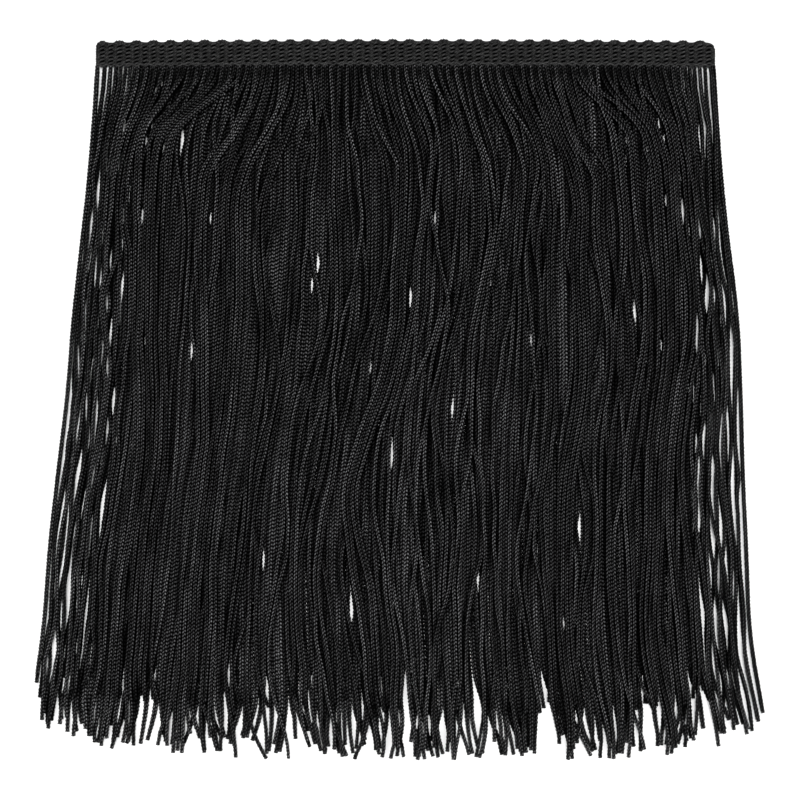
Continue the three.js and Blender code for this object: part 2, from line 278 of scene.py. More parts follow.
@dataclass
class FringeFlow:
    """The routes of the strands seen from above, in millimetres.

    Places across the trim are measured from the heading's middle, and drops from its lower edge.
    A strand's side is its place in its layer, from -1 at the left to 1 at the right. A table gives a
    value at each drop or side, and two tables in a pair are for the left and the right. Where a size
    is scattered, its two numbers are the least and how much more there may be.
    """

    strands: int = 146
    heading_width: float = 266.2
    heading_bow: float = 0.7
    half_columns: float = 132.2
    spread_rounds: int = 40
    left: Table = field(default_factory=lambda: {
        0: -132.4, 35: -134.6, 70: -138.4, 105: -142.5, 140: -145.0, 175: -149.3, 210: -153.2,
        245: -155.6, 270: -159.8, 300: -163.0})
    right: Table = field(default_factory=lambda: {
        0: 132.4, 35: 134.6, 70: 138.0, 105: 142.7, 140: 144.2, 175: 145.1, 210: 146.8,
        245: 147.8, 270: 152.4, 300: 157.5})
    drawn_in: Pair = (4.0, 40.0)
    edge_fans: tuple[Table, Table] = field(default_factory=lambda: (
        {0: 1.5, 10: 1.3, 26: 0.0, 130: 0.0, 165: 0.5, 208: 0.25, 247: 0.0},
        {0: 1.5, 10: 1.3, 26: 0.0, 130: 0.0, 165: 0.6, 208: 0.85, 255: 0.9, 290: 0.8}))
    side_fans: tuple[Table, Table] = field(default_factory=lambda: (
        {0: 0.0, 50: 0.05, 80: 0.2, 105: 0.3, 165: 0.35, 200: 0.15, 225: 0.0, 290: 0.0},
        {0: 0.0, 50: 0.05, 80: 0.2, 165: 0.3, 208: 0.2, 290: 0.1}))
    fan_strands: Pair = (2.5, 8.0)
    pulls: tuple[Table, Table] = field(default_factory=lambda: (
        {0: 1.0, 20: 1.0, 40: 0.0}, {0: 1.0, 20: 1.0, 40: 0.0, 160: 0.0, 200: 0.5}))
    pull_start: Pair = (0.93, 0.97)
    hem: Table = field(default_factory=lambda: {
        -1: 269.0, -0.985: 280.0, -0.96: 287.5, -0.93: 285.5, -0.9: 292.0, -0.85: 294.5, -0.75: 295.5,
        -0.5: 298.0, -0.1: 299.2, 0.5: 298.7, 0.8: 295.3, 0.9: 292.5, 0.95: 290.5, 0.985: 285.0,
        1: 279.0})
    front_lean: Table = field(default_factory=lambda: {
        -1: 0.0, -0.94: 0.0, -0.8: -7.5, -0.6: -8.5, -0.47: -8.5, -0.4: -4.0, -0.33: 6.0, -0.2: 8.5,
        0.05: 8.0, 0.2: 9.0, 0.32: 10.0, 0.45: 9.5, 0.6: 8.5, 0.8: 7.0, 0.94: 0.0, 1: 0.0})
    lean_share: Pair = (0.4, 1.2)
    lean_drop: float = 46.0
    lean_eases: tuple[float, float, float] = (55.0, 190.0, 0.75)
    drift: tuple[float, float, float, float, float] = (-4.5, -0.3, 0.4, 185.0, 62.0)
    waves: tuple[tuple[float, float, float], ...] = (
        (1.7, 1.3, 290.0), (1.5, 2.6, 175.0), (0.9, 4.5, 112.0), (0.5, 7.5, 78.0))
    wave_drop: float = 40.0
    wave_power: int = 4
    wander_length: Pair = (80.0, 130.0)
    wiggle: float = 0.12
    wiggle_length: Pair = (26.0, 30.0)
    side_start: Pair = (0.82, 0.93)
    side_wander: float = 0.85
    side_wander_length: Pair = (42.0, 50.0)
    side_half: float = 0.9
    held_power: int = 60
    tuft_start: float = 268.0
    tuft_length: float = 34.0
    tuft_size: tuple[int, int] = (2, 6)
    tuft_pull: Pair = (0.05, 0.35)
    tuft_lean: float = 3.2
    tuft_short: float = 6.0
    flare: float = 10.4
    flare_length: float = 18.0
    end_power: int = 8
    stub: float = 19.0
    stub_side: float = 0.94
    stray_share: float = 0.3
    stray_beside: float = 0.5
    stray_leaves: Pair = (5.0, 215.0)
    stray_length: Pair = (30.0, 35.0)
    stray_reach: float = 7.0
    stray_least: float = 0.5
    side_parts: int = 96
    side_part_sizes: tuple[tuple[Seed, float, float, float], ...] = (
        (Seed.PART_INWARD, 2.0, 18.0, 1.5), (Seed.PART_DROP, 45.0, 215.0, 0.8),
        (Seed.PART_LENGTH, 5.0, 5.0, 1.0), (Seed.PART_WIDTH, 0.15, 0.45, 1.0))

    def __post_init__(self) -> None:
        """Works out the strands' order and their tufts."""
        self.index = np.arange(self.strands)
        self.side = 2.0 * self.index / (self.strands - 1) - 1.0
        self.held = 1.0 - self.side ** self.held_power
        self.rider = self.index % 2 == 0
        self.beside = smoothstep(np.abs(self.side), *self.side_start)
        self.stray = (self.rider & (scatter(self.index, Seed.STRAY) < self.stray_share)
                      & (self.beside < self.stray_beside))
        self._gather_tufts()

    def _gather_tufts(self) -> None:
        """Finds the tuft of each strand: its middle, its pull, its lean and how short it is."""
        self.tuft_middle, self.pull, self.tuft_tilt, self.tuft_cut = np.zeros((4, self.strands))
        start, tuft = -0.5, 0
        least, more = self.tuft_size
        while start < self.strands:
            end = start + least + math.floor(scatter(tuft, Seed.TUFT_SIZE) * more)
            own = (self.index > start) & (self.index < end)
            self.tuft_middle[own] = (start + end) / 2.0
            self.pull[own] = self.tuft_pull[0] + self.tuft_pull[1] * scatter(tuft, Seed.TUFT_PULL)
            self.tuft_tilt[own] = self.tuft_lean * swing(tuft, Seed.TUFT_LEAN)
            self.tuft_cut[own] = self.tuft_short * scatter(tuft, Seed.TUFT_CUT) ** 2
            start, tuft = end, tuft + 1

    def edge(self, across: np.ndarray) -> np.ndarray:
        """The height of the heading's bowed lower edge over its ends."""
        side = 2.0 * np.asarray(across) / self.heading_width
        return self.heading_bow * (1.0 - side * side)

    def cut(self, form: LayerForm) -> np.ndarray:
        """Finds the drop at which each strand of a layer is cut.

        Args:
            form: The layer's form.

        Returns:
            One drop for each strand.
        """
        uneven = form.uneven * scatter(self.index, form.level + Seed.CUT) ** 2
        return (look_up(self.hem, self.side) - form.shorter - self.stub * self.stubs(form) - uneven
                - self.tuft_cut)

    def stubs(self, form: LayerForm) -> np.ndarray:
        """Whether each strand of a layer is one of its short ones."""
        short = scatter(self.index, form.level + Seed.STUB) < form.stubs
        return short & (np.abs(self.side) < self.stub_side)

    def _spread(self, drop: np.ndarray) -> np.ndarray:
        """Spreads places evenly between the trim's sides, drawn in from the outer strands.

        Args:
            drop: The drops, in one row.

        Returns:
            Places across the trim, a row for each strand and a column for each drop.
        """
        index = self.index[:, None]
        last = self.strands - 1
        at_root = np.minimum(index / (last - 1.0), 1.0)
        lower = smoothstep(drop, *self.drawn_in)
        share = at_root * (1.0 - lower) + index / last * lower
        places = soft_look_up(self.left, drop) * (1.0 - share) + soft_look_up(self.right, drop) * share
        for fans, strands in zip((self.edge_fans, self.side_fans), self.fan_strands):
            for table, inward, way in zip(fans, (index, last - index), (1.0, -1.0)):
                wider = strands * (1.0 - np.exp(-inward / strands)) * (1.0 - inward / last)
                places = places + way * look_up(table, drop) * wider
        return places

    def _wander(self, form: LayerForm, drop: np.ndarray) -> np.ndarray:
        """Lets each strand wander by itself, in long and in short waves.

        Args:
            form: The layer's form.
            drop: The drops, in one row.

        Returns:
            How far each strand is aside, a row for each strand and a column for each drop.
        """
        index = self.index[:, None]
        own = np.where(self.rider, form.rider_wander, form.wander) * (1.0 - self.beside)
        wandered = np.zeros((self.strands, drop.shape[1]))
        for kind, (amount, (least, more)) in enumerate((
                (own, self.wander_length), (self.wiggle * own, self.wiggle_length),
                (self.side_wander * self.beside, self.side_wander_length))):
            turn = drop / (least + more * scatter(index, form.level + Seed.WANDER_LENGTH + kind))
            turn = turn + scatter(index, form.level + Seed.WANDER_TURN + kind)
            wandered += amount[:, None] * np.sin(2.0 * np.pi * turn)
        return wandered * self.held[:, None]

    def _ends(self, form: LayerForm, drop: np.ndarray) -> np.ndarray:
        """Gathers the strands' ends in tufts that lean, and flares each end by itself.

        Args:
            form: The layer's form.
            drop: The drops, in one row.

        Returns:
            How far each strand is aside, a row for each strand and a column for each drop.
        """
        index = self.index[:, None]
        pitch = 2.0 * self.half_columns / (self.strands - 1)
        gathered = smoothstep(drop, self.tuft_start, self.tuft_start + self.tuft_length)
        pulled = self.pull[:, None] * (index - self.tuft_middle[:, None]) * pitch
        cut = self.cut(form)[:, None]
        flared = smoothstep(drop, cut - self.flare_length, cut + self.flare_length)
        flare = self.flare * swing(index, form.level + Seed.FLARE)
        moved = gathered * (self.tuft_tilt[:, None] - pulled) + flared * flare
        return (1.0 - self.side[:, None] ** self.end_power) * moved

    def all_sweeps(self, form: LayerForm) -> tuple[Sweep, ...]:
        """Lists a layer's sweeps.

        Args:
            form: The layer's form.

        Returns:
            Its own sweeps, and where it has any those of its stray strands too.
        """
        strays = []
        for strand in self.index[self.stray] if form.sweeps else ():
            least, more = self.stray_leaves
            leaves = least + more * scatter(strand, Seed.STRAY_START)
            least, more = self.stray_length
            lands = leaves + least + more * scatter(strand, Seed.STRAY_LENGTH)
            turn = swing(strand, Seed.STRAY_REACH)
            reach = self.stray_reach * (turn + math.copysign(self.stray_least, turn))
            strays.append(Sweep(int(strand), leaves, lands, reach / (1.0 + self.stray_least)))
        return form.sweeps + tuple(strays)

    def across(self, form: LayerForm, drops: np.ndarray) -> np.ndarray:
        """Places strands where they would lie before their neighbours push them aside.

        Args:
            form: The layer's form.
            drops: The drops to place them at.

        Returns:
            Places across the trim, a row for each strand and a column for each drop.
        """
        side, drop = self.side[:, None], np.asarray(drops, float)[None, :]
        start, end, eased = self.lean_eases
        least, more = self.lean_share
        own = form.lean * (least + more * scatter(self.index, form.level + Seed.LEAN))[:, None]
        lean = (own * look_up(self.front_lean, side) * smoothstep(drop, 0.0, self.lean_drop)
                * (1.0 - eased * smoothstep(drop, start, end)))
        shift, middle, width, deepest, length = self.drift
        drift = shift * np.exp(-((side - middle) / width) ** 2 - ((drop - deepest) / length) ** 2)
        turns = (count * side / 2.0 + drop / long + scatter(order, form.level + Seed.WAVE)
                 for order, (_, count, long) in enumerate(self.waves))
        wave = sum(size * np.sin(2.0 * np.pi * turn) for (size, _, _), turn in zip(self.waves, turns))
        grown = smoothstep(drop, 0.0, self.wave_drop)
        swept = np.zeros((self.strands, drop.shape[1]))
        for sweep in self.all_sweeps(form):
            swept[sweep.strand] += sweep.reach * smoothstep(drop[0], sweep.leaves, sweep.lands)
        common = form.waves * wave * (1.0 - side ** self.wave_power) + self._wander(form, drop)
        return self._spread(drop) + lean + drift + swept + common * grown + self._ends(form, drop)

    def apart(self, places: np.ndarray, closest: float) -> np.ndarray:
        """Moves strands that are too close apart.

        Args:
            places: Places across the trim, a row for each strand and a column for each drop.
            closest: The least distance between two of them.

        Returns:
            The new places.
        """
        for _ in range(self.spread_rounds):
            for row in range(1, len(places)):
                short = np.maximum(closest - (places[row] - places[row - 1]), 0.0) / 2.0
                places[row - 1] -= short
                places[row] += short
        return places

    def groups(self, form: LayerForm) -> list[np.ndarray]:
        """Sorts a layer's strands: the ones below, the riders and those that sweep across.

        Args:
            form: The layer's form.

        Returns:
            The groups in the order in which they lie on each other, without empty ones.
        """
        swept = np.isin(self.index, [sweep.strand for sweep in self.all_sweeps(form)])
        groups = (self.index[~self.rider & ~swept], self.index[self.rider & ~swept], self.index[swept])
        return [group for group in groups if len(group)]

    def routes(self, form: LayerForm, drops: np.ndarray) -> np.ndarray:
        """Finds where the strands of a layer lie across the trim.

        Args:
            form: The layer's form.
            drops: The drops to place them at.

        Returns:
            Places across the trim, a row for each strand and a column for each drop.
        """
        places = self.across(form, drops)
        for group in self.groups(form):
            places[group] = self.apart(places[group], form.closest)
        return self.parted(places, drops, form.girth)

    def all_parts(self) -> tuple[Part, ...]:
        """Lists the spots where strands part.

        Returns:
            The named ones, and many small ones near both sides.
        """
        parts = list(PARTS)
        for number in range(self.side_parts):
            inward, drop, length, width = (
                low + more * scatter(number, seed) ** power
                for seed, low, more, power in self.side_part_sizes)
            table, way = (self.left, 1.0) if number % 2 else (self.right, -1.0)
            parts.append(Part(float(look_up(table, drop)) + way * inward, drop, length, width))
        return tuple(parts)

    def pulled(self, drops: np.ndarray) -> np.ndarray:
        """How far the lower strands are drawn under the upper ones: near the sides, 0 to 1."""
        amounts = np.where(self.side[:, None] < 0.0, *(look_up(table, drops) for table in self.pulls))
        return smoothstep(np.abs(self.side), *self.pull_start)[:, None] * amounts

    def parted(self, places: np.ndarray, drops: np.ndarray, girth: float) -> np.ndarray:
        """Bends the strands aside where they part.

        Args:
            places: Places across the trim, a row for each strand and a column for each drop.
            drops: The drops of the columns.
            girth: Half the width of the layer's strands away from the sides, in millimetres.

        Returns:
            The new places.
        """
        half = girth + (self.side_half - girth) * self.beside
        for part in self.all_parts():
            off = places[:, np.argmin(np.abs(drops - part.drop))] - part.across
            clear = np.cbrt(np.abs(off) ** 3 + (half + part.width / 2.0) ** 3)
            aside = np.copysign(clear, off) - off
            near = np.exp(-((drops - part.drop) / part.length) ** 2)
            places = places + (self.held * aside)[:, None] * near[None, :]
        return places


@dataclass
class TubeMesh:
    """Points, triangles, two sets of texture coordinates and a shade, gathered for one mesh."""

    points: list[np.ndarray] = field(default_factory=list)
    faces: list[np.ndarray] = field(default_factory=list)
    pattern: list[np.ndarray] = field(default_factory=list)
    ribbon: list[np.ndarray] = field(default_factory=list)
    shade: list[np.ndarray] = field(default_factory=list)
    smooth: list[np.ndarray] = field(default_factory=list)
    count: int = 0

    def add(self, points: np.ndarray, faces: np.ndarray, pattern: np.ndarray, ribbon: np.ndarray,
            caps: int = 0, shade: np.ndarray | None = None) -> None:
        """Adds one closed form.

        Args:
            points: Its points, in millimetres.
            faces: Its triangles, as numbers of its own points.
            pattern: The pattern's coordinates, at each corner of each triangle.
            ribbon: The place in a ribbon from 0 to 1, at each corner of each triangle.
            caps: How many of the last triangles are flat ends.
            shade: How open to the light each point is, from 0 to 1, or None where all are open.
        """
        open_points = np.ones(len(points)) if shade is None else shade
        self.shade.append(np.stack([open_points[faces], np.zeros(faces.shape)], axis=-1))
        self.points.append(points)
        self.faces.append(faces + self.count)
        self.pattern.append(pattern)
        self.ribbon.append(ribbon)
        self.smooth.append(np.arange(len(faces)) < len(faces) - caps)
        self.count += len(points)

    def add_tube(self, number: int, points: np.ndarray, faces: np.ndarray, turns: np.ndarray,
                 lengths: np.ndarray, caps: int, stitch: float = 1.0, widest: float = 1.0,
                 shade: np.ndarray | None = None) -> None:
        """Adds one closed tube, with the coordinates that go round it and along it.

        Args:
            number: Its number, which its pattern coordinates carry.
            points: Its points, in millimetres.
            faces: Its triangles, as numbers of its own points, with those of its ends last.
            turns: The turn round the tube, at each corner of each triangle.
            lengths: The length along it, at each corner of each triangle.
            caps: How many triangles close its ends.
            stitch: The length of one stitch or twist of its pattern.
            widest: The largest of the turns.
            shade: How open to the light each point is, from 0 to 1, or None where all are open.
        """
        pattern = np.stack([STRAND_TURNS * number + turns, lengths / stitch], axis=-1)
        shares = (turns / widest, lengths / lengths.max())
        ribbon = np.stack([margin + (1.0 - 2.0 * margin) * share
                           for margin, share in zip(BAKE_MARGINS, shares)], axis=-1)
        self.add(points, faces, pattern, ribbon, caps, shade)

    def build(self, name: str) -> bpy.types.Object:
        """Makes the object, with a ribbon of the texture for each tube.

        Args:
            name: The piece's name.

        Returns:
            The new object, linked to the scene.
        """
        tubes = len(self.ribbon)
        ribbons = [np.stack([(place[..., 0] + number) / tubes, place[..., 1]], axis=-1)
                   for number, place in enumerate(self.ribbon)]
        faces = np.concatenate(self.faces)
        mesh = bpy.data.meshes.new(name)
        points = np.concatenate(self.points) * MM
        mesh.vertices.add(len(points))
        mesh.vertices.foreach_set("co", points.astype(np.float32).ravel())
        mesh.loops.add(faces.size)
        mesh.loops.foreach_set("vertex_index", faces.astype(np.int32).ravel())
        mesh.polygons.add(len(faces))
        mesh.polygons.foreach_set("loop_start", np.arange(0, faces.size, 3, dtype=np.int32))
        mesh.polygons.foreach_set("use_smooth", np.concatenate(self.smooth))
        mesh.update(calc_edges=True)
        for layer, places in (("OFBake", ribbons), ("Stitch", self.pattern), ("Shade", self.shade)):
            uv = mesh.uv_layers.new(name=layer)
            uv.data.foreach_set("uv", np.concatenate(places).astype(np.float32).ravel())
        mesh.uv_layers["OFBake"].active_render = True
        mesh.validate()
        piece = bpy.data.objects.new(name, mesh)
        bpy.context.scene.collection.objects.link(piece)
        return piece


@dataclass(frozen=True)
class ChainSection:
    """One stitch of a chain: a plump V of two legs, in millimetres.

    Each stitch has two rings. The waist ring lies in the crease between two stitches and has a
    bottom, a right, a top and a left point. The crest ring has the ends of the legs at its right
    and left, and the legs' crests beside the middle. The slant says how far the outer ends of a V
    run ahead of its middle, in stitches for each millimetre across, and the stagger how far the
    right legs lie ahead of their ring and the left legs behind it. The last numbers say how uneven
    the stitches are in their width, their height and their place along the strand.
    """

    stitch: float = 1.6
    waist_half: float = 0.78
    waist_top: float = 0.16
    waist_side: float = -0.05
    bottom: float = -0.66
    leg_end: float = 1.0
    leg_end_height: float = 0.05
    crest: float = 0.45
    crest_height: float = 0.7
    slant: float = 0.6
    lag: float = 0.3
    stagger: float = 0.25
    uneven: tuple[float, float, float] = (0.06, 0.12, 0.1)

    def slip(self, across: float) -> float:
        """How far along a point of the V lies from its ring, in stitches."""
        return self.slant * abs(across) - self.lag + self.stagger * float(np.sign(across))

    def waist(self) -> np.ndarray:
        """The waist ring's points: place across, height, and place along in stitches."""
        half, side = self.waist_half, self.waist_side
        return np.array([(0.0, self.bottom, 0.0), (half, side, self.slip(half)),
                         (0.0, self.waist_top, self.slip(0.0)), (-half, side, self.slip(-half))])

    def legs(self) -> np.ndarray:
        """The crest ring's points: place across, height, and place along in stitches."""
        ends, crests = (self.leg_end, self.leg_end_height), (self.crest, self.crest_height)
        return np.array([(way * across, height, self.slip(way * across)) for way, (across, height) in (
            (1.0, ends), (1.0, crests), (-1.0, crests), (-1.0, ends))])

    def end(self) -> np.ndarray:
        """The cut end's points: place across, height, and place along in stitches."""
        wide, high = (self.waist_half + self.leg_end) / 2.0, (self.waist_top + self.crest_height) / 2.0
        return np.array([(0.0, self.bottom, 0.0), (wide, 0.0, 0.0), (0.0, high, 0.0), (-wide, 0.0, 0.0)])


@dataclass
class ChainStrand:
    """Makes the mesh of one chain-stitched strand along its line.

    The turns are those of a ring's points, from its first round the strand and back to it. The strip
    joins a waist ring to the crest ring after it. Each of its triangles has two corners on the waist
    ring and one on the crest ring where its first number is 0, and else one and two. Between the
    crest ring and the next waist ring lies the same strip in reverse.
    """

    section: ChainSection
    roll_length: float = 110.0
    uneven_seed: Pair = (5.0, 0.37)
    waist_turns: tuple[float, ...] = (0.0, 0.25, 0.5, 0.75, 1.0)
    leg_turns: tuple[float, ...] = (0.25, 0.4, 0.6, 0.75, 1.25)
    widest_turn: float = 1.3
    strip: tuple[tuple[int, int, int, int], ...] = (
        (0, 0, 1, 0), (1, 1, 0, 1), (0, 1, 2, 1), (1, 2, 1, 2), (0, 2, 3, 2), (1, 3, 2, 3),
        (0, 3, 4, 3), (1, 4, 3, 4))

    def add_to(self, mesh: TubeMesh, line: np.ndarray, number: int, roll: float = 0.0,
               girth: float | np.ndarray = 1.0, shade: float | np.ndarray = 1.0) -> None:
        """Adds the strand to a mesh.

        Args:
            mesh: The mesh to add to.
            line: The strand's line from its root to its end, in millimetres.
            number: The strand's number, which its pattern coordinates carry.
            roll: How far the strand is rolled about its line, in radians.
            girth: How wide the strand is, for one or at each point of its line.
            shade: How open to the light it is, for one or at each point of its line.
        """
        total = float(measure(line)[-1])
        stitches = max(round(total / self.section.stitch), 2)
        rings = 2 * stitches + 1
        shape = np.empty((rings, RING_POINTS, 3))
        shape[0::2] = self.section.waist()
        shape[1::2] = self.section.legs()
        shape[-1] = self.section.end()
        spots = np.arange(rings * RING_POINTS).reshape(rings, RING_POINTS)
        seed, step = self.uneven_seed
        for axis, uneven in enumerate(self.section.uneven):
            shape[..., axis] += uneven * swing(spots, number + step * axis + seed)
        along = (np.arange(rings)[:, None] / 2.0 + shape[..., 2]) * (total / stitches)
        along = np.clip(along, 0.0, total)
        point, right, up = frames(line, along)
        turn = roll * np.sin(along * 2.0 * np.pi / self.roll_length + number)
        measured = np.linspace(0.0, total, len(line))
        girths, shades = (np.interp(along, measured, np.broadcast_to(values, len(line)))
                          for values in (girth, shade))
        wide = shape[..., 0] * girths
        sideways = wide * np.cos(turn) - shape[..., 1] * np.sin(turn)
        upwards = wide * np.sin(turn) + shape[..., 1] * np.cos(turn)
        points = point + right * sideways[..., None] + up * upwards[..., None]
        points[..., 2] = np.maximum(points[..., 2], 0.0)
        faces, turns, lengths = self._faces(stitches)
        mesh.add_tube(number, points.reshape(-1, 3), faces, turns, lengths,
                      caps=2 * (RING_POINTS - 2), widest=self.widest_turn, shade=shades.ravel())

    def _faces(self, stitches: int) -> tuple[np.ndarray, np.ndarray, np.ndarray]:
        """Joins the rings with triangles and closes both ends.

        Args:
            stitches: The count of stitches.

        Returns:
            The triangles, and at each of their corners the turn and the length in stitches.
        """
        faces, turns, lengths = [], [], []
        ring, stitch = RING_POINTS, 2 * RING_POINTS
        base = np.arange(stitches)[:, None] * stitch
        for which in (0, 1):
            for kind, first, second, third in self.strip:
                waist, legs = ((first, second), (third,)) if kind == 0 else ((first,), (second, third))
                corners = [base + stitch * which + place % ring for place in waist]
                corners += [base + ring + place % ring for place in legs]
                turn = [self.waist_turns[place] for place in waist]
                turn += [self.leg_turns[place] for place in legs]
                length = [float(which)] * len(waist) + [0.5] * len(legs)
                order = (0, 1, 2) if kind == which else (0, 2, 1)
                faces.append(np.concatenate([corners[place] for place in order], axis=1))
                turns.append([turn[place] for place in order])
                lengths.append([length[place] for place in order])
        all_turns = np.broadcast_to(np.array(turns), (stitches, len(faces), 3)).reshape(-1, 3)
        all_lengths = (np.arange(stitches)[:, None, None] + np.array(lengths)).reshape(-1, 3)
        last = stitch * stitches
        caps = np.array([[2, 1, 0], [3, 2, 0], [last, last + 1, last + 2], [last, last + 2, last + 3]])
        cap_lengths = np.repeat([[0.0] * 3, [float(stitches)] * 3], 2, axis=0)
        return (np.concatenate([np.stack(faces, axis=1).reshape(-1, 3), caps]),
                np.concatenate([all_turns, np.array(self.waist_turns)[caps % ring]]),
                np.concatenate([all_lengths, cap_lengths]))


@dataclass
class StrandBed:
    """Finds how high strands lie that rest on the ones laid before them, in millimetres."""

    half_width: float = 1.85
    rise: float = 1.3
    stiff_points: int = 5
    highest: float = 5.0
    shadow_width: float = 2.6
    shadow: float = 1.5
    cut_off: float = -9.0
    places: list[np.ndarray] = field(default_factory=list)
    heights: list[np.ndarray] = field(default_factory=list)

    def rest(self, place: np.ndarray, floor: float, here: np.ndarray) -> np.ndarray:
        """Lays a strand down.

        Args:
            place: Where it lies across the trim, at each drop.
            floor: The least height of its line.
            here: Whether the strand reaches each drop.

        Returns:
            The height of its line at each drop.
        """
        height = np.full(len(place), floor)
        if self.places:
            off = np.abs(np.stack(self.places) - place) / self.half_width
            over = np.stack(self.heights) + self.rise * np.sqrt(np.clip(1.0 - off ** 2, 0.0, 1.0))
            height = np.maximum(height, np.where(off < 1.0, over, floor).max(axis=0))
        near = self.stiff_points
        padded = np.pad(height, near, mode="edge")
        windows = np.lib.stride_tricks.sliding_window_view(padded, 2 * near + 1)
        middle = windows[:, near - 1:near + 2].max(axis=1)
        weight = np.hanning(2 * near + 3)[1:-1]
        soft = np.convolve(np.pad(middle, near, mode="edge"), weight / weight.sum(), mode="valid")
        height = np.minimum(soft, self.highest)
        self.places.append(place)
        self.heights.append(np.where(here, height, self.cut_off))
        return height

    def shades(self, place: np.ndarray, height: np.ndarray) -> np.ndarray:
        """Finds how open to the light a strand is under the ones that lie beside and over it.

        Args:
            place: Where it lies across the trim, at each drop.
            height: The height of its line at each drop.

        Returns:
            One number for each drop, 1 where nothing is over it and less under other strands.
        """
        beside = np.clip(1.0 - np.abs(np.stack(self.places) - place) / self.shadow_width, 0.0, 1.0)
        over = np.clip((np.stack(self.heights) - height) / self.rise, 0.0, 1.0)
        return np.exp(-self.shadow * (beside * over).sum(axis=0))


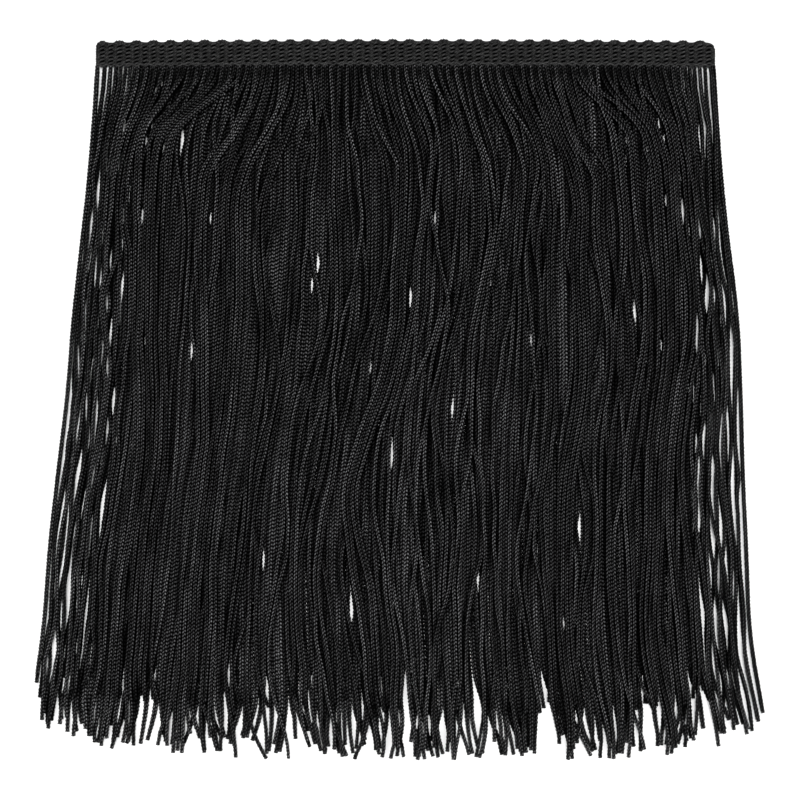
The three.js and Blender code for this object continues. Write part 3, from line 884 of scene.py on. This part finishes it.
@dataclass
class Fringe:
    """The strands of both layers, built as a few pieces of many strands each, in millimetres.

    Root_out, root_blend, open_root and the pairs of drops say where a change starts and ends. The
    floors are the least heights of the odd strands and of the riders. The roots are the heights at
    the heading of the lower layer, of the upper one's odd strands and of its riders. Under the heading
    each layer is darkened by painted shade, by its share under the root. Painted shade also darkens
    the strands near the sides and the last millimetres of the short strands.
    """

    heading_middle: float
    heading_edge: float
    flow: FringeFlow = field(default_factory=FringeFlow)
    forms: tuple[LayerForm, LayerForm] = (LOWER, UPPER)
    section: ChainSection = ChainSection()
    sample: float = 1.5
    root_rise: float = 1.3
    root_uneven: float = 0.9
    root_blend: Pair = (-0.3, 9.0)
    root_out: Pair = (-0.9, 0.5)
    hidden_root: float = 0.25
    roots: tuple[float, float, float] = (0.75, 1.05, 1.4)
    floors: Pair = (0.7, 0.95)
    rider_lift: float = 0.8
    rider_lift_drops: Pair = (25.0, 70.0)
    slim: float = 0.92
    slim_drops: Pair = (272.0, 292.0)
    pulled_shake: Pair = (0.3, 1.1)
    pulled_shake_drops: Pair = (20.0, 60.0)
    # Painted shade in the layer Shade: where it fades in at the roots, how much darker it makes each layer
    # under the heading, the strands near the sides and the ends of the short strands.
    open_root: Pair = (-1.0, 5.0)
    under_root_painted_shade: Pair = (0.85, 0.4)
    under_root_drops: Pair = (3.0, 16.0)
    side_painted_shade: float = 0.14
    stub_end_painted_shade: float = 0.6
    stub_dark_length: Pair = (10.0, 3.0)

    def __post_init__(self) -> None:
        """Lays all the strands down."""
        longest = max(self.flow.cut(form).max() for form in self.forms)
        self.drops = np.arange(-self.root_rise, longest + self.sample, self.sample)
        lower, upper = (self.flow.routes(form, np.maximum(self.drops, 0.0)) for form in self.forms)
        least, most = self.pulled_shake
        amount = least + (most - least) * smoothstep(self.drops, *self.pulled_shake_drops)
        shake = amount * swing(self.flow.index, Seed.PULLED)[:, None]
        lower = lower + (upper + shake - lower) * self.flow.pulled(self.drops)
        self.places = {Level.LOWER: lower, Level.UPPER: upper}
        self.heights = {level: np.empty_like(places) for level, places in self.places.items()}
        bed = StrandBed()
        for form in self.forms:
            self._lay(form, bed)
        self.shades = {form.level: self._shades(form, bed) for form in self.forms}

    def _lay(self, form: LayerForm, bed: StrandBed) -> None:
        """Lays the strands of one layer down, from their roots in the heading to their ends.

        Args:
            form: The layer's form.
            bed: The bed of strands to lay them on.
        """
        out = smoothstep(self.drops, *self.root_out)
        risen = smoothstep(self.drops, *self.root_blend)
        lift = self.rider_lift * (1.0 - smoothstep(self.drops, *self.rider_lift_drops))
        cuts = self.flow.cut(form)
        for strand in np.concatenate(self.flow.groups(form)):
            rider = int(self.flow.rider[strand])
            place = self.places[form.level][strand]
            lying = bed.rest(place, self.floors[rider], self.drops <= cuts[strand])
            root = self.hidden_root * (1.0 - out) + self.roots[form.level * (1 + rider)] * out
            lying = lying + lift * rider * form.level
            self.heights[form.level][strand] = root * (1.0 - risen) + lying * risen

    def _shades(self, form: LayerForm, bed: StrandBed) -> np.ndarray:
        """Finds the painted shade of strands: less light under others, under the heading, at the sides and
        where short ones end.

        Args:
            form: The layer's form.
            bed: The bed with all the strands laid down.

        Returns:
            Numbers from 0 to 1, a row for each strand and a column for each drop.
        """
        level, flow = form.level, self.flow
        shades = np.stack([bed.shades(place, height) for place, height in zip(
            self.places[level], self.heights[level])])
        shades = 1.0 - (1.0 - shades) * smoothstep(self.drops, *self.open_root)
        # Painted shade under the heading, near the sides and at the ends of the short strands.
        under = self.under_root_painted_shade[level] * (1.0 - flow.rider * level) * (1.0 - flow.beside)
        shades *= 1.0 - under[:, None] * (1.0 - smoothstep(self.drops, *self.under_root_drops))
        shades *= 1.0 - self.side_painted_shade * flow.beside[:, None]
        cuts = flow.cut(form)[:, None]
        start, end = self.stub_dark_length
        ending = smoothstep(self.drops[None, :], cuts - start, cuts - end)
        return shades * (1.0 - self.stub_end_painted_shade * ending * flow.stubs(form)[:, None])

    def girths(self, form: LayerForm, strand: int, drops: np.ndarray) -> np.ndarray:
        """How wide a strand is at each drop: slimmer at the sides and at its free end."""
        slim = np.maximum(smoothstep(drops, *self.slim_drops), self.flow.beside[strand])
        return form.girth * (1.0 - slim) + self.slim * slim

    def build(self, form: LayerForm) -> list[bpy.types.Object]:
        """Builds one layer as one piece for each of its names, from left to right.

        Args:
            form: The layer's form.

        Returns:
            The pieces.
        """
        flow, level = self.flow, form.level
        maker = ChainStrand(self.section)
        cuts, edge = flow.cut(form), flow.edge(self.places[level][:, 0])
        starts = -self.root_rise + self.root_uneven * scatter(flow.index, level + Seed.ROOT)
        roll = math.radians(form.roll) * swing(flow.index, level + Seed.ROLL)
        pieces = []
        for name, group in zip(form.names, np.array_split(flow.index, len(form.names))):
            mesh = TubeMesh()
            for strand in group:
                at = np.arange(starts[strand], cuts[strand], self.sample)
                at[-1] = cuts[strand]
                across, z, shade = (np.interp(at, self.drops, values[level][strand]) for values in (
                    self.places, self.heights, self.shades))
                y = self.heading_edge + edge[strand] - at
                line = np.stack([self.heading_middle + across, y, z], axis=-1)
                maker.add_to(mesh, line, int(strand), float(roll[strand]),
                             self.girths(form, strand, at), shade)
            pieces.append(mesh.build(name))
        return pieces

    def dress(self) -> list[bpy.types.Object]:
        """Builds and dresses the pieces of both layers.

        Returns:
            The pieces.
        """
        yarn = ChainetteFinish().make()
        pieces = []
        for form in self.forms:
            for piece in self.build(form):
                dress(piece, yarn, Slot.CHAINETTE, form.node)
                pieces.append(piece)
        return pieces


@dataclass
class ThreadTube:
    """Makes the mesh of one round thread along its line.

    The radius is in millimetres, and the twist is the length of one turn of its plies.
    """

    radius: float
    sides: int = 6
    twist: float = 1.4

    def add_to(self, mesh: TubeMesh, line: np.ndarray, number: int) -> None:
        """Adds the thread to a mesh.

        Args:
            mesh: The mesh to add to.
            line: The thread's line, in millimetres.
            number: The thread's number, which its pattern coordinates carry.
        """
        sides, length = self.sides, measure(line)
        point, right, up = frames(line, length)
        angle = -2.0 * np.pi * np.arange(sides)[None, :, None] / sides
        points = point[:, None] + self.radius * (
            np.cos(angle) * right[:, None] + np.sin(angle) * up[:, None])
        points[..., 2] = np.maximum(points[..., 2], 0.0)
        ring, side = np.meshgrid(np.arange(len(line) - 1), np.arange(sides), indexing="ij")
        corners = ((ring, side), (ring, side + 1), (ring + 1, side + 1), (ring + 1, side))
        faces, turns, lengths = (halved(np.stack(values, axis=-1).reshape(-1, 4)) for values in (
            [row * sides + place % sides for row, place in corners],
            [place / sides for _, place in corners], [length[row] for row, _ in corners]))
        fan = np.array([[0, place + 1, place] for place in range(1, sides - 1)])
        faces = np.concatenate([faces, fan, (len(line) - 1) * sides + fan[:, ::-1]])
        turns = np.concatenate([turns, fan / sides, fan[:, ::-1] / sides])
        lengths = np.concatenate([lengths, np.zeros(fan.shape), np.full(fan.shape, length[-1])])
        mesh.add_tube(number, points.reshape(-1, 3), faces, turns, lengths, caps=2 * len(fan),
                      stitch=self.twist)


@dataclass
class Heading:
    """The knitted heading: its band, the cords that run up through it and the threads that bind them.

    Sizes are in millimetres, and heights in the band are measured from its lower edge. The band's
    place in its texture is given by its middle and width, and then by its foot and height.
    """

    middle: float
    edge: float
    flow: FringeFlow
    columns: int = 73
    height: float = 10.3
    corner_drop: float = 3.4
    corner_width: float = 3.4
    band_top: float = 0.95
    band_rib: float = 0.5
    band_steps: int = 8
    band_rows: int = 10
    band_under: float = 1.2
    band_baked: tuple[float, float, float, float] = (0.5, 0.998, 0.53, 0.4)
    loop_rise: float = 0.6
    loop_sunk: float = 0.4
    loop_uneven: float = 0.5
    cord: ChainSection = ChainSection(
        stitch=1.05, waist_half=0.85, waist_top=0.35, waist_side=0.0, leg_end=1.15, crest=0.5,
        crest_height=0.75, slant=0.2, lag=0.1, stagger=0.12)
    cord_middle: float = 1.75
    cord_foot: float = 0.15
    cord_head: float = 9.0
    cord_step: float = 0.4
    loop_steps: int = 16
    loop_head: float = 0.8
    corner_head: float = 1.4
    rows: int = 6
    row_foot: float = 0.7
    row_pitch: float = 1.62
    row_slant: float = 0.22
    row_uneven: float = 0.16
    row_seed: float = 100.0
    column_uneven: float = 0.35
    thread: float = 0.42
    thread_over: float = 1.95
    thread_under: float = 1.35
    thread_steps: int = 8
    festoon: float = 0.35
    festoon_over: float = 0.375
    top_thread_drop: float = 0.6
    top_thread_sunk: float = 0.2

    def __post_init__(self) -> None:
        """Works out the width of a column."""
        self.width = self.flow.heading_width
        self.pitch = 2.0 * self.flow.half_columns / (self.columns - 1)

    def _turn(self, x: np.ndarray) -> np.ndarray:
        """How far a place is from the middle of a gap between two columns, in radians of a column."""
        return 2.0 * np.pi * (x + self.flow.half_columns) / self.pitch + np.pi

    def _place(self, x: np.ndarray, height: np.ndarray, over: np.ndarray) -> np.ndarray:
        """Points of the row frame from places across, heights in the band and heights over the surface."""
        y = self.edge + self.flow.edge(x) + height
        return np.stack(np.broadcast_arrays(self.middle + x, y, over), axis=-1)

    def _half(self, height: float) -> float:
        """Half the heading's width at a height in the band, less in its round top corners."""
        up = min(max((height - self.height + self.corner_drop) / self.corner_drop, 0.0), 1.0)
        return self.width / 2.0 - self.corner_width * (1.0 - math.sqrt(1.0 - up * up))

    def _top(self, x: np.ndarray) -> np.ndarray:
        """Finds the height of the band's top edge, with its loops and its round corners.

        Args:
            x: Places across, from the heading's middle.

        Returns:
            The height at each of them.
        """
        turn = self._turn(x)
        uneven = 1.0 - self.loop_uneven * scatter(np.floor(turn / (4.0 * np.pi)), Seed.LOOP)
        loops = (0.5 - 0.5 * np.cos(turn / 2.0)) * uneven
        inward = np.clip((self.width / 2.0 - np.abs(x)) / self.corner_width, 0.0, 1.0)
        corner = self.corner_drop * (1.0 - np.sqrt(1.0 - (1.0 - inward) ** 2))
        return self.height + self.loop_rise * (loops - self.loop_sunk) - corner

    def band(self) -> bpy.types.Object:
        """Builds the band, ribbed over the cords, with a flat underside.

        Returns:
            The piece.
        """
        steps, rows = self.columns * self.band_steps + 1, self.band_rows + 1
        x = np.linspace(-self.width / 2.0, self.width / 2.0, steps)[:, None]
        height = np.linspace(0.0, 1.0, rows)[None, :] * self._top(x)
        rib = self.band_rib * (0.5 + 0.5 * np.cos(self._turn(x)))
        top = np.broadcast_to(self.band_top - rib, height.shape)
        points = np.concatenate([self._place(x, height, over).reshape(-1, 3)
                                 for over in (top, np.zeros_like(top))])
        step, row = np.meshgrid(np.arange(steps - 1), np.arange(rows - 1), indexing="ij")
        first = (step * rows + row).ravel()
        quads = np.stack([first, first + rows, first + rows + 1, first + 1], axis=-1)
        under = steps * rows
        rim = [np.arange(steps) * rows, (steps - 1) * rows + np.arange(rows),
               np.arange(steps)[::-1] * rows + rows - 1, np.arange(rows)[::-1]]
        walls = np.concatenate([np.stack([under + line[:-1], under + line[1:], line[1:], line[:-1]], -1)
                                for line in rim])
        faces = halved(np.concatenate([quads, under + quads[:, ::-1], walls]))
        grid = np.stack([np.broadcast_to(x, height.shape), height], axis=-1).reshape(-1, 2)
        spots = np.concatenate([grid, grid - (0.0, self.height * self.band_under)])[faces]
        baked_x, wide, baked_y, high = self.band_baked
        ribbon = np.stack([baked_x + spots[..., 0] / self.width * wide,
                           baked_y + spots[..., 1] / self.height * high], axis=-1)
        mesh = TubeMesh()
        mesh.add(points, faces, spots, ribbon)
        return mesh.build("heading_band")

    def cords(self) -> bpy.types.Object:
        """Builds the cords, each pair joined by a loop over the top edge.

        Returns:
            The piece.
        """
        mesh, maker = TubeMesh(), ChainStrand(self.cord)
        for column in range(0, self.columns, 2):
            left = column * self.pitch - self.flow.half_columns
            lowered = self.corner_head if column in (0, self.columns - 1) else 0.0
            head = self.cord_head - lowered
            height = np.arange(self.cord_foot, head, self.cord_step)
            x = np.full(len(height), left)
            if column + 1 < self.columns:
                turn = np.linspace(0.0, np.pi, self.loop_steps)
                over = head + np.sin(turn) * (self.loop_head + lowered)
                x = np.concatenate([x, left + self.pitch * (1 - np.cos(turn)) / 2.0, x + self.pitch])
                height = np.concatenate([height, over, height[::-1]])
            line = self._place(x, height, np.full(len(x), self.cord_middle))
            maker.add_to(mesh, line, column)
        return mesh.build("heading_cords")

    def threads(self) -> bpy.types.Object:
        """Builds the rows of binding thread, and the scalloped threads along both edges.

        Returns:
            The piece.
        """
        mesh, maker = TubeMesh(), ThreadTube(self.thread)
        middle, deep = (self.thread_over + self.thread_under) / 2.0, self.thread_over - self.thread_under
        steps = self.columns * self.thread_steps + 1
        for row in range(self.rows):
            level = self.row_foot + row * self.row_pitch
            half = self._half(level + self.thread) - self.thread
            x = np.linspace(-half, half, steps)
            turn = self._turn(x)
            gap = np.floor(turn / (2.0 * np.pi) + 0.5)
            shaken = (self.row_uneven * swing(gap + self.row_seed * row, Seed.KNOT)
                      + self.column_uneven * swing(gap, Seed.GAP))
            height = level + self.row_slant * np.sin(turn) + shaken * (0.5 + 0.5 * np.cos(turn))
            maker.add_to(mesh, self._place(x, height, middle + deep / 2.0 * np.cos(turn)), row)
        half = self.width / 2.0 - self.thread
        x = np.linspace(-half, half, steps)
        wave = np.cos(self._turn(x))
        lines = ((-self.festoon * wave, self.thread_over - self.festoon_over * wave),
                 (self._top(x) - self.top_thread_drop, middle + deep / 2.0 * wave - self.top_thread_sunk))
        for number, (height, over) in enumerate(lines):
            maker.add_to(mesh, self._place(x, height, over), self.rows + number)
        return mesh.build("heading_threads")

    def dress(self) -> list[bpy.types.Object]:
        """Returns:
            The pieces.
        """
        band, cords, threads = self.band(), self.cords(), self.threads()
        # One heading yarn in three tones: the band's is darkened all over as painted shade, and the
        # binding threads' is lighter than the cords' as a painted highlight.
        for piece, finish in (
                (band, HeadingFinish("black_heading_ground_painted_shade", dark=0.0003, light=0.0012)),
                (cords, HeadingFinish("black_heading_cord", dark=0.0015, light=0.029,
                                      bars=0.65, bar_painted_shade=0.3)),
                (threads, HeadingFinish("black_binding_thread", dark=0.003, light=0.043))):
            dress(piece, finish.make(), Slot.HEADING, "heading")
        return [band, cords, threads]


class Graph:
    """Adds shader nodes to a new material and links them."""

    def __init__(self, name: str) -> None:
        """Starts a material with a Principled shader.

        Args:
            name: The material's name.
        """
        self.material = bpy.data.materials.new(name)
        self.material.use_nodes = True
        self.tree = self.material.node_tree
        self.tree.nodes.clear()
        self.shader = self.add("ShaderNodeBsdfPrincipled")
        output = self.add("ShaderNodeOutputMaterial")
        self.feed(output.inputs["Surface"], self.shader.outputs["BSDF"])

    def add(self, kind: str, **settings: object) -> bpy.types.Node:
        """Adds a node.

        Args:
            kind: The node's type.
            settings: Its properties.

        Returns:
            The node.
        """
        node = self.tree.nodes.new(kind)
        for key, value in settings.items():
            setattr(node, key, value)
        return node

    def feed(self, target: Socket, value: Value) -> None:
        """Gives an input its value.

        Args:
            target: The input.
            value: An output to link to it, or a plain value to set there.
        """
        if isinstance(value, Socket):
            self.tree.links.new(value, target)
        else:
            target.default_value = value

    def math(self, operation: str, *values: Value) -> Socket:
        """Adds a Math node.

        Args:
            operation: Its operation.
            values: Its inputs, sockets or numbers.

        Returns:
            Its output.
        """
        node = self.add("ShaderNodeMath", operation=operation)
        for socket, value in zip(node.inputs, values):
            self.feed(socket, value)
        return node.outputs[0]

    def times(self, first: Value, *others: Value) -> Value:
        """Multiplies numbers.

        Args:
            first: The first of them.
            others: The others.

        Returns:
            Their product.
        """
        for other in others:
            first = self.math("MULTIPLY", first, other)
        return first

    def ramp(self, value: Value, low: float, high: float, to_low: float = 0.0,
             to_high: float = 1.0) -> Socket:
        """Adds a smooth Map Range node.

        Args:
            value: The input, a socket or a number.
            low: The input's value at the start.
            high: The input's value at the end.
            to_low: The output at the start.
            to_high: The output at the end.

        Returns:
            Its output.
        """
        node = self.add("ShaderNodeMapRange", interpolation_type="SMOOTHSTEP")
        for name, number in (("Value", value), ("From Min", low), ("From Max", high),
                             ("To Min", to_low), ("To Max", to_high)):
            self.feed(node.inputs[name], number)
        return node.outputs["Result"]

    def mix(self, factor: Value, first: Value, second: Value) -> Socket:
        """Mixes two colours.

        Args:
            factor: The share of the second colour.
            first: The first colour.
            second: The second colour.

        Returns:
            The mixed colour.
        """
        node = self.add("ShaderNodeMix", data_type="RGBA")
        for name, value in (("Factor", factor), ("A", first), ("B", second)):
            self.feed(node.inputs[name], value)
        return next(socket for socket in node.outputs if socket.type == "RGBA")

    def pattern(self, layer: str = "Stitch") -> tuple[Socket, Socket]:
        """Reads coordinates of the pattern.

        Args:
            layer: The texture coordinates' layer.

        Returns:
            The turn round the strand and the length in stitches, or in the layer Shade how open to
            the light it is and a zero.
        """
        split = self.add("ShaderNodeSeparateXYZ")
        self.feed(split.inputs[0], self.add("ShaderNodeUVMap", uv_map=layer).outputs["UV"])
        return split.outputs["X"], split.outputs["Y"]

    def strand(self, turn: Socket, length: Socket) -> tuple[Socket, Socket]:
        """Reads the number of a strand, and its length with a shift of its own for each strand."""
        number = self.math("FLOOR", self.math("DIVIDE", turn, STRAND_TURNS))
        return number, self.math("ADD", length, self.times(number, STRAND_SHIFT))

    def patches(self, value: Socket, scale: float, tones: Pair) -> Socket:
        """Scatters tones in patches over a value.

        Args:
            value: The value.
            scale: How many patches there are to one of it.
            tones: The darkest and the lightest tone.

        Returns:
            The tone.
        """
        node = self.add("ShaderNodeTexNoise", noise_dimensions="1D")
        self.feed(node.inputs["W"], value)
        self.feed(node.inputs["Scale"], scale)
        return self.ramp(node.outputs["Fac"], *NOISE_RANGE, *tones)

    def finish(self, colour: Value, tone: Value, height: Value, bump: float, gloss: Pair) -> None:
        """Feeds the shader.

        Args:
            colour: The colour.
            tone: The number to multiply it by.
            height: The height of the fine relief.
            bump: How many metres high that relief is.
            gloss: The roughness and the specular level.
        """
        scaled = self.add("ShaderNodeVectorMath", operation="SCALE")
        self.feed(scaled.inputs[0], colour)
        self.feed(scaled.inputs["Scale"], tone)
        self.feed(self.shader.inputs["Base Color"], scaled.outputs["Vector"])
        relief = self.add("ShaderNodeBump")
        self.feed(relief.inputs["Distance"], bump)
        self.feed(relief.inputs["Height"], height)
        self.feed(self.shader.inputs["Normal"], relief.outputs["Normal"])
        self.gloss(*gloss)

    def gloss(self, roughness: float, specular: float) -> None:
        """Sets the roughness and the specular level."""
        self.feed(self.shader.inputs["Roughness"], roughness)
        self.feed(self.shader.inputs["Specular IOR Level"], specular)


def grey(value: float, blue: float = 1.0) -> tuple[float, float, float, float]:
    """A neutral colour with a little more or less blue."""
    return (value, value, value * blue, 1.0)


@dataclass(frozen=True)
class ChainetteFinish:
    """Black satin yarn in chain stitches: painted shade in near-black creases, and a painted highlight
    on the back of each leg.

    Two columns of legs lie on the upper side of the strand and two on its lower side. The side's edge,
    the groove and the flank are given in turns round the strand from the side's middle, and creases
    and the legs' backs in shares of a stitch. Painted shade darkens the creases between stitches, the
    groove between the two columns and the flanks, and the painted highlight lightens the legs' backs.
    The legs grow lighter between two lengths from the root, in stitches.
    """

    name: str = "black_chainette"
    # Painted shade: the colour of the creases, the groove and the flanks.
    crease: float = 0.0003
    leg: Pair = (0.003, 0.018)
    lighter: Pair = (10.0, 120.0)
    # Painted highlight: the colour of the legs' backs.
    crest: float = 0.09
    blue: float = 1.03
    gloss: Pair = (0.4, 0.02)
    side_edge: float = 0.25
    groove: Pair = (0.01, 0.07)
    flank: Pair = (0.13, 0.22)
    crease_end: Pair = (0.04, 0.26)
    back: Pair = (0.22, 0.46)
    plies: float = 4.0
    ply_height: float = 0.08
    bump: float = 0.0002
    # The darkest share of the painted shade from the layer Shade.
    shaded: float = 0.05
    tones: Pair = (0.65, 1.35)
    patches: Pair = (0.65, 1.35)
    patch_scale: float = 0.05
    stitches: Pair = (0.45, 1.6)
    stitch_scale: float = 0.9
    turn_shift: float = 11.0

    def make(self) -> bpy.types.Material:
        """Makes the material.

        Returns:
            The material.
        """
        graph = Graph(self.name)
        turn, length = graph.pattern()
        number, run = graph.strand(turn, length)
        off = graph.math("PINGPONG", turn, self.side_edge)
        across = graph.times(graph.ramp(off, *self.groove), graph.ramp(off, *self.flank, 1.0, 0.0))
        along = graph.math("FRACT", length)
        near = graph.math("MINIMUM", along, graph.math("SUBTRACT", 1.0, along))
        relief_and_painted_shade = graph.times(graph.ramp(near, *self.crease_end), across)
        back = graph.times(graph.ramp(near, *self.back), across)
        ply = graph.math("SINE", graph.times(along, 2.0 * math.pi * self.plies))
        height = graph.math("ADD", relief_and_painted_shade, graph.times(ply, self.ply_height))
        lot = graph.add("ShaderNodeTexWhiteNoise", noise_dimensions="1D")
        graph.feed(lot.inputs["W"], number)
        stitch = graph.math("ADD", run, graph.times(turn, self.turn_shift))
        # The tone takes in random tones and the painted shade of the layer Shade, down to the shaded
        # share.
        open_share, _ = graph.pattern("Shade")
        tone = graph.times(
            graph.ramp(lot.outputs["Value"], 0.0, 1.0, *self.tones),
            graph.patches(run, self.patch_scale, self.patches),
            graph.patches(stitch, self.stitch_scale, self.stitches),
            graph.ramp(open_share, 0.0, 1.0, self.shaded, 1.0))
        leg = graph.mix(graph.ramp(length, *self.lighter), *(grey(value, self.blue) for value in self.leg))
        # Painted shade in the creases, the groove and on the flanks, then the painted highlight on the
        # legs' backs.
        colour = graph.mix(relief_and_painted_shade, grey(self.crease, self.blue), leg)
        colour = graph.mix(back, colour, grey(self.crest, self.blue))
        graph.finish(colour, tone, height, self.bump, self.gloss)
        return graph.material


@dataclass(frozen=True)
class HeadingFinish:
    """Matte black thread, twisted, with dull fibres, an uneven tone and painted shade.

    Plies are counted round the thread, light on their tops and dark in the grooves between them as
    painted shade. Bars are darker bands of painted shade, so many to a stitch, where the binding
    threads pinch a cord. Plies and bars have equally soft edges.
    """

    name: str
    # The painted shade in the grooves between plies, and the tone of the plies' tops.
    dark: float
    light: float
    bars: float = 0.0
    bar_painted_shade: float = 1.0
    gloss: Pair = (0.75, 0.03)
    plies: float = 3.0
    soft_edge: float = 0.3
    bump: float = 0.00012
    tones: Pair = (0.62, 1.38)
    tone_scale: float = 0.45

    def make(self) -> bpy.types.Material:
        """Makes the material.

        Returns:
            The material.
        """
        graph = Graph(self.name)
        turn, length = graph.pattern()
        _, run = graph.strand(turn, length)
        tone = graph.patches(run, self.tone_scale, self.tones)
        if self.bars:
            # Painted shade in bars where the binding threads pinch the cord.
            bar = graph.math("SUBTRACT", graph.times(length, self.bars), turn)
            near = graph.math("PINGPONG", bar, 0.5)
            tone = graph.times(tone, graph.ramp(near, 0.0, self.soft_edge, self.bar_painted_shade, 1.0))
        ply = graph.math("ADD", graph.times(turn, self.plies), length)
        relief_and_painted_shade = graph.ramp(graph.math("PINGPONG", ply, 0.5), 0.0, self.soft_edge)
        # Painted shade in the grooves between plies.
        colour = graph.mix(relief_and_painted_shade, grey(self.dark), grey(self.light))
        graph.finish(colour, tone, relief_and_painted_shade, self.bump, self.gloss)
        return graph.material


@dataclass(frozen=True)
class PlainFinish:
    """One even finish, for the floor."""

    name: str
    colour: float
    roughness: float

    def make(self) -> bpy.types.Material:
        """Makes the material.

        Returns:
            The material.
        """
        graph = Graph(self.name)
        graph.feed(graph.shader.inputs["Base Color"], grey(self.colour))
        graph.gloss(self.roughness, 0.0)
        return graph.material


@dataclass
class Studio:
    """The camera over the trim, the pale floor under it and the soft light round it.

    The heading's place and the trim's height are in millimetres, and the studio's sizes in metres.
    """

    heading_middle: float
    heading_edge: float
    trim_height: float = 2.0
    lens: float = 90.0
    sensor: float = 36.0
    floor_size: float = 80.0
    floor_gap: float = 0.0001
    floor: PlainFinish = PlainFinish("pale_floor", 0.9, 0.9)
    sun_tilt: float = 11.0
    sun_angle: float = 22.0
    sun_strength: float = 2.65
    corner_lights: int = 4
    corner_angle: float = 45.0
    corner_height: float = 0.9
    corner_distance: float = 1.1
    corner_size: float = 0.7
    corner_power: float = 4.8
    world_strength: float = 0.24

    def set_camera(self) -> None:
        """Sets the camera straight over the trim, framed as the photograph is."""
        centre_px = PHOTO_SIDE_PX / 2.0
        x = self.heading_middle + (centre_px - PHOTO_HEADING_MIDDLE_PX) * PHOTO_SCALE_MM
        y = self.heading_edge - (centre_px - PHOTO_HEADING_EDGE_PX) * PHOTO_SCALE_MM
        distance = PHOTO_SIDE_PX * PHOTO_SCALE_MM * self.lens / self.sensor
        data = bpy.data.cameras.new("photo_camera")
        data.lens = self.lens
        data.sensor_width = self.sensor
        camera = bpy.data.objects.new("photo_camera", data)
        camera.location = (x * MM, y * MM, (self.trim_height + distance) * MM)
        bpy.context.scene.collection.objects.link(camera)
        bpy.context.scene.camera = camera

    def lay_floor(self) -> None:
        """Lays the pale floor."""
        half = self.floor_size / 2.0
        mesh = bpy.data.meshes.new("floor")
        corners = [(-half, -half), (half, -half), (half, half), (-half, half)]
        mesh.from_pydata([(x, y, -self.floor_gap) for x, y in corners], [], [(0, 1, 2, 3)])
        mesh.materials.append(self.floor.make())
        floor = bpy.data.objects.new("floor", mesh)
        bpy.context.scene.collection.objects.link(floor)

    def add_light(self, name: str, kind: str, **settings: float) -> bpy.types.Object:
        """Adds one soft light.

        Args:
            name: Its name.
            kind: Its type.
            settings: Its properties.

        Returns:
            The light, still in the middle of the scene and facing down.
        """
        data = bpy.data.lights.new(name, kind)
        for key, value in settings.items():
            setattr(data, key, value)
        light = bpy.data.objects.new(name, data)
        bpy.context.scene.collection.objects.link(light)
        return light

    def set_lights(self) -> None:
        """Sets a broad light overhead for the whole floor, one off each corner, and a pale world."""
        sun = self.add_light("broad_overhead", "SUN", angle=math.radians(self.sun_angle),
                             energy=self.sun_strength)
        sun.rotation_euler = (-math.radians(self.sun_tilt), 0.0, 0.0)
        for number in range(self.corner_lights):
            angle = math.radians(self.corner_angle + 360.0 / self.corner_lights * number)
            place = Vector((math.cos(angle) * self.corner_distance,
                            math.sin(angle) * self.corner_distance, self.corner_height))
            light = self.add_light(f"softbox_{number}", "AREA", size=self.corner_size,
                                   energy=self.corner_power)
            light.location = place
            light.rotation_euler = (-place).to_track_quat("-Z", "Y").to_euler()
        world = bpy.data.worlds.new("pale_world")
        world.use_nodes = True
        back = world.node_tree.nodes["Background"]
        back.inputs["Color"].default_value = grey(1.0)
        back.inputs["Strength"].default_value = self.world_strength
        bpy.context.scene.world = world

    def build(self) -> None:
        """Builds the whole studio."""
        self.set_camera()
        self.lay_floor()
        self.set_lights()
        bpy.context.scene.view_settings.view_transform = "Standard"


def dress(piece: bpy.types.Object, material: bpy.types.Material, slot: Slot, *nodes: str) -> None:
    """Gives a piece its material and its body, and hides the solids it stands for.

    Args:
        piece: The piece.
        material: Its material.
        slot: The record's slot for it; not used.
        nodes: The solids that it replaces.
    """
    piece.data.materials.append(material)
    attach(piece, "root")
    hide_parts(*nodes)


def main() -> None:
    """Builds the studio and the trim."""
    logging.basicConfig(level=logging.INFO, format="%(name)s: %(message)s")
    low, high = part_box("heading")
    middle, edge = (low[0] + high[0]) / 2.0 / MM, low[1] / MM
    Studio(middle, edge).build()
    fringe = Fringe(middle, edge)
    heading = Heading(middle, edge, fringe.flow)
    for piece in fringe.dress() + heading.dress():
        log.info("%s: %d triangles", piece.name, len(piece.data.polygons))


if __name__ == "__main__":
    main()
